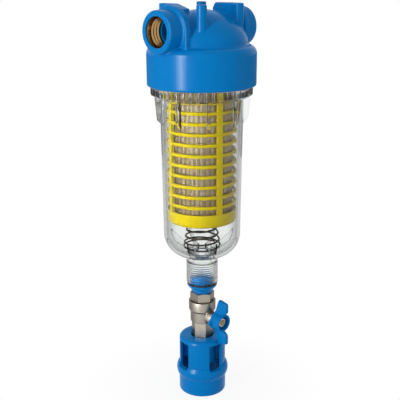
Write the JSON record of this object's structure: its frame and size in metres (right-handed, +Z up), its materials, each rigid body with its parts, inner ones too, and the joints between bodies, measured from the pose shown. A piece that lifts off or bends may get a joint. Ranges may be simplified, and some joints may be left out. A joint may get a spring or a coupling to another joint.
{
  "type": "self cleaning water filter",
  "caption": "In-line water filter with a moulded head, a clear screw-on bowl, a spring-backed screen cartridge, and a drain ball valve over a windowed tundish for flushing.",
  "frame": {"origin": "centre of the drain spigot's lower end", "axes": "+Z up along the bowl's axis, +X from the inlet port to the outlet port, -Y towards the valve handle"},
  "size_m": [0.117, 0.107, 0.4085],
  "materials": {
    "blue_plastic": "moulded, satin to gloss",
    "clear_plastic": "clear, polished mould",
    "yellow_plastic": "moulded, satin",
    "seat_plastic": "turned",
    "brass": "turned",
    "nickel_plate": "nickel plated over a cast surface",
    "steel": "zinc plated",
    "spring_wire": "drawn wire",
    "screen_wire": "woven wire",
    "seal_rubber": "moulded, matte"
  },
  "bodies": {
    "head": {"head_shell": "blue_plastic", "inlet_insert": "brass", "outlet_insert": "brass"},
    "bowl_seal": {"bowl_o_ring": "seal_rubber"},
    "bowl": {"bowl": "clear_plastic", "drain_gasket": "seal_rubber", "drain_adapter": "blue_plastic", "valve_end_cap": "nickel_plate", "valve_body": "nickel_plate", "upper_ball_seat": "seat_plastic", "lower_ball_seat": "seat_plastic", "stem_o_rings": "seal_rubber", "tundish": "blue_plastic", "cartridge_spring": "spring_wire"},
    "valve_rotor": {"valve_ball": "nickel_plate", "valve_stem": "brass", "valve_handle": "blue_plastic", "stem_nut": "steel"},
    "cartridge": {"cartridge_bottom_cap": "yellow_plastic", "cartridge_cage": "yellow_plastic", "screen_core": "yellow_plastic", "filter_screen": "screen_wire", "cartridge_top_cap": "yellow_plastic", "cartridge_gasket": "seal_rubber", "outlet_o_ring": "seal_rubber"}
  },
  "joints": [
    {"name": "bowl_drop", "type": "slide", "parent": "head", "child": "bowl_seal", "axis": [0, 0, -1], "range_m": [0, 0.0212]},
    {"name": "bowl_unscrew", "type": "hinge", "parent": "bowl_seal", "child": "bowl", "pos_m": [0, 0, 0.34], "axis": [0, 0, -1], "range_deg": [0, 1260]},
    {"name": "valve_turn", "type": "hinge", "parent": "bowl", "child": "valve_rotor", "pos_m": [0, 0, 0.0854], "axis": [0, -1, 0], "range_deg": [0, 90]},
    {"name": "cartridge_flush", "type": "slide", "parent": "bowl", "child": "cartridge", "axis": [0, 0, -1], "range_m": [0, 0.008], "stiffness_N_per_m": 400, "springref_m": -0.012, "deforming": ["cartridge_spring"]}
  ],
  "couplings": [
    {"joint": "bowl_drop", "follows": "bowl_unscrew", "m_per_rad": 0.00095493}
  ]
}
